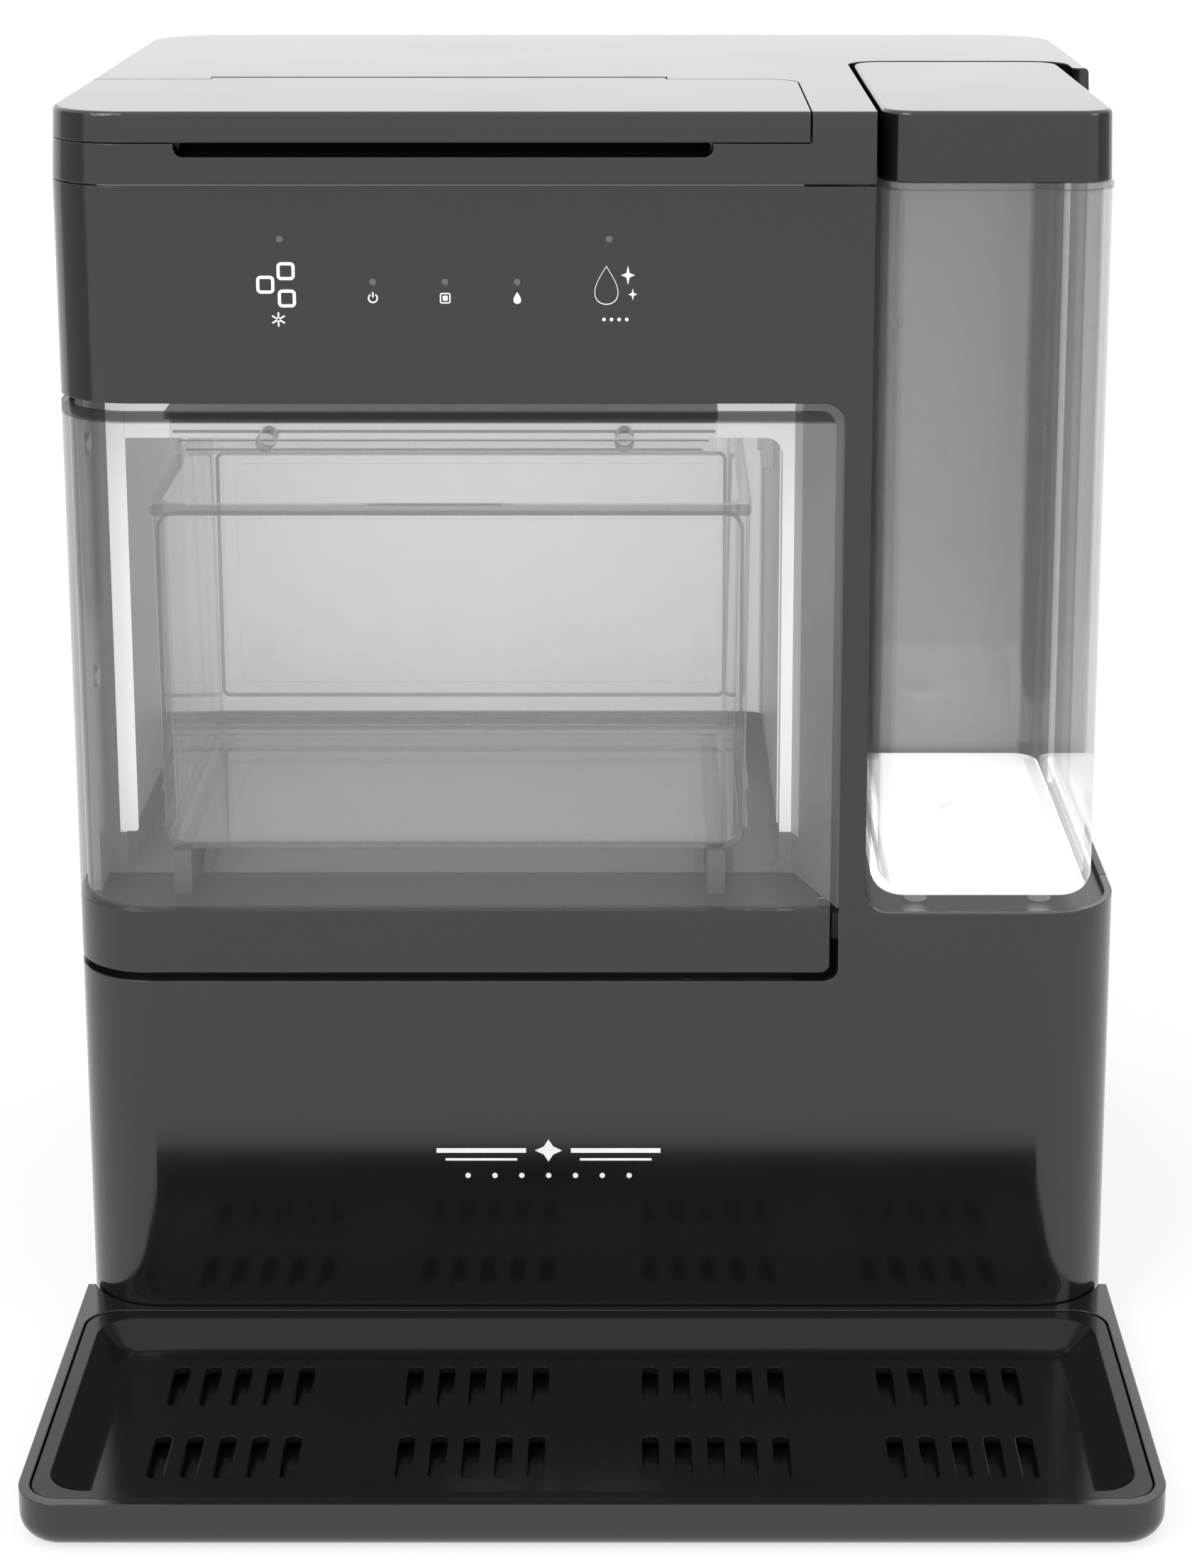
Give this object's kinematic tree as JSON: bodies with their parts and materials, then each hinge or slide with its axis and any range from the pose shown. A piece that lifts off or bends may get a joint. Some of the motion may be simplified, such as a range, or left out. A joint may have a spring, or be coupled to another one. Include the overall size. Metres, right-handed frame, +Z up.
{
  "type": "countertop ice maker",
  "caption": "Countertop nugget ice maker with a top lid, pull-out ice drawer behind a clear window, lift-out side water tank and slotted drip tray.",
  "frame": {"origin": "middle of the footprint, drip tray included, on the table top", "axes": "+X to the right seen from the front, +Y from the front to the back, +Z up"},
  "size_m": [0.3494, 0.4, 0.42],
  "materials": {
    "black_gloss": "gloss black moulded plastic",
    "black_satin": "satin black moulded plastic",
    "white_plastic": "satin off-white moulded plastic",
    "clear_plastic": "clear polished plastic",
    "clear_smoke": "clear polished plastic",
    "rubber_dark": "dark matt rubber",
    "steel": "brushed stainless steel",
    "screw_steel": "plated steel",
    "copper": "drawn copper tube",
    "compressor_paint": "black stove enamel",
    "foam": "black cellular foam",
    "aluminium": "bare aluminium",
    "board_green": "solder-masked circuit board",
    "mark_white": "white printed mark",
    "lens": "frosted light guide",
    "hose": "translucent silicone",
    "float_white": "foamed plastic",
    "inlet_black": "moulded inlet socket",
    "pan_metal": "zinc-coated sheet"
  },
  "bodies": {
    "cabinet": {"front_panel": "black_gloss", "rear_shell": "black_satin", "top_frame": "black_gloss", "tank_bay": "black_gloss", "base_pan": "pan_metal", "rubber_feet": "rubber_dark", "hinge_pins": "screw_steel", "valve_socket": "black_satin", "indicator_lenses": "lens", "touch_marks": "mark_white", "control_board": "board_green", "ice_compartment": "white_plastic", "slide_guides": "white_plastic", "ice_sensor": "black_satin", "compressor": "compressor_paint", "compressor_mounts": "rubber_dark", "condenser": "aluminium", "fan_shroud": "black_satin", "freezing_barrel": "steel", "evaporator_coil": "copper", "barrel_jacket": "foam", "extruder_head": "steel", "ice_chute": "white_plastic", "gear_motor": "pan_metal", "reservoir": "white_plastic", "reservoir_lid": "white_plastic", "pump_housing": "white_plastic", "water_hoses": "hose", "refrigerant_tubes": "copper", "filter_drier": "copper", "power_board": "board_green", "power_inlet": "inlet_black", "drain_spout": "black_satin", "case_screws": "screw_steel"},
    "lid": {"top_lid": "black_gloss"},
    "drawer": {"drawer_window": "clear_plastic", "drawer_band": "black_gloss", "drawer_frame": "black_gloss", "ice_bin": "clear_plastic", "pull_rail": "clear_smoke", "rail_bosses": "clear_smoke"},
    "tank": {"tank_body": "clear_plastic", "tank_rim": "clear_plastic", "neck_seal": "rubber_dark"},
    "tank_cap": {"tank_lid": "black_gloss"},
    "tank_valve": {"valve_plunger": "white_plastic"},
    "tray": {"drip_tray": "black_gloss"},
    "tray_insert": {"tray_grille": "black_satin"},
    "fan": {"fan_rotor": "black_satin"},
    "auger": {"auger": "steel"},
    "impeller": {"pump_impeller": "white_plastic"},
    "float": {"level_float": "float_white"},
    "drain_plug": {"drain_cap": "rubber_dark"}
  },
  "joints": [
    {"name": "lid_hinge", "type": "hinge", "parent": "cabinet", "child": "lid", "pos_m": [0, 0.034, 0.4176], "axis": [-1, 0, 0], "range_deg": [0, 95]},
    {"name": "drawer_slide", "type": "slide", "parent": "cabinet", "child": "drawer", "axis": [0, -1, 0], "range_m": [0, 0.15]},
    {"name": "tank_lift", "type": "slide", "parent": "cabinet", "child": "tank", "axis": [0, 0, 1], "range_m": [0, 0.25]},
    {"name": "tank_lid_lift", "type": "slide", "parent": "tank", "child": "tank_cap", "axis": [0, 0, 1], "range_m": [0, 0.06]},
    {"name": "tank_valve_travel", "type": "slide", "parent": "tank", "child": "tank_valve", "axis": [0, 0, 1], "range_m": [0, 0.003], "stiffness_N_per_m": 40, "springref_m": -0.004},
    {"name": "tray_slide", "type": "slide", "parent": "cabinet", "child": "tray", "axis": [0, -1, 0], "range_m": [0, 0.08]},
    {"name": "tray_insert_lift", "type": "slide", "parent": "tray", "child": "tray_insert", "axis": [0, 0, 1], "range_m": [0, 0.05]},
    {"name": "fan_spin", "type": "hinge", "parent": "cabinet", "child": "fan", "pos_m": [0.05, 0.1635, 0.084], "axis": [0, 1, 0], "continuous": true},
    {"name": "auger_spin", "type": "hinge", "parent": "cabinet", "child": "auger", "pos_m": [-0.06, 0.1555, 0.2], "axis": [0, 0, 1], "continuous": true},
    {"name": "impeller_spin", "type": "hinge", "parent": "cabinet", "child": "impeller", "pos_m": [0.062, 0.0495, 0.024], "axis": [0, 0, 1], "continuous": true},
    {"name": "float_rise", "type": "slide", "parent": "cabinet", "child": "float", "axis": [0, 0, 1], "range_m": [0, 0.04]},
    {"name": "drain_plug_pull", "type": "slide", "parent": "cabinet", "child": "drain_plug", "axis": [-1, 0, 0], "range_m": [0, 0.03]}
  ]
}
